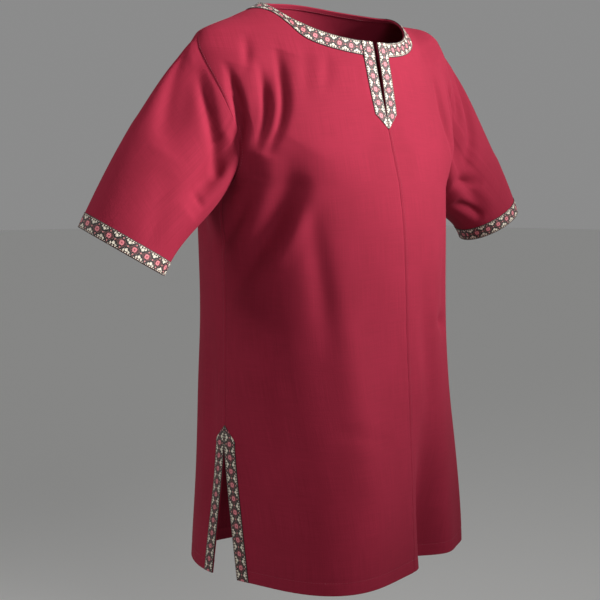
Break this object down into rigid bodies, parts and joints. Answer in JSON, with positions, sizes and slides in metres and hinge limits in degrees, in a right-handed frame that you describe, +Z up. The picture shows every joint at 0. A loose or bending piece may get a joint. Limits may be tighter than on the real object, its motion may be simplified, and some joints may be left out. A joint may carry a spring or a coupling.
{
  "type": "medieval tunic",
  "caption": "Short-sleeved pull-on tunic of heavy woven cloth with a slit round neck, side vents and a patterned ribbon along its edges, standing open and hollow as when worn.",
  "frame": {"origin": "midway between the two side neck points, at their height, where the tunic hangs on the shoulders", "axes": "+X to the wearer's left, the front faces -Y, +Z up the trunk"},
  "size_m": [0.8633, 0.382, 0.839],
  "materials": {
    "canvas": "matt plain weave, crimson",
    "ribbon": "jacquard weave, dark brown with cream and pink motifs"
  },
  "bodies": {
    "root": {"front_right": "canvas", "front_left": "canvas", "back": "canvas", "sleeve_right": "canvas", "sleeve_left": "canvas", "neck_trim": "ribbon", "slit_trim_right": "ribbon", "slit_trim_left": "ribbon", "cuff_trim_right": "ribbon", "cuff_trim_left": "ribbon", "vent_trim_front_right": "ribbon", "vent_trim_back_right": "ribbon", "vent_trim_front_left": "ribbon", "vent_trim_back_left": "ribbon"}
  },
  "joints": []
}
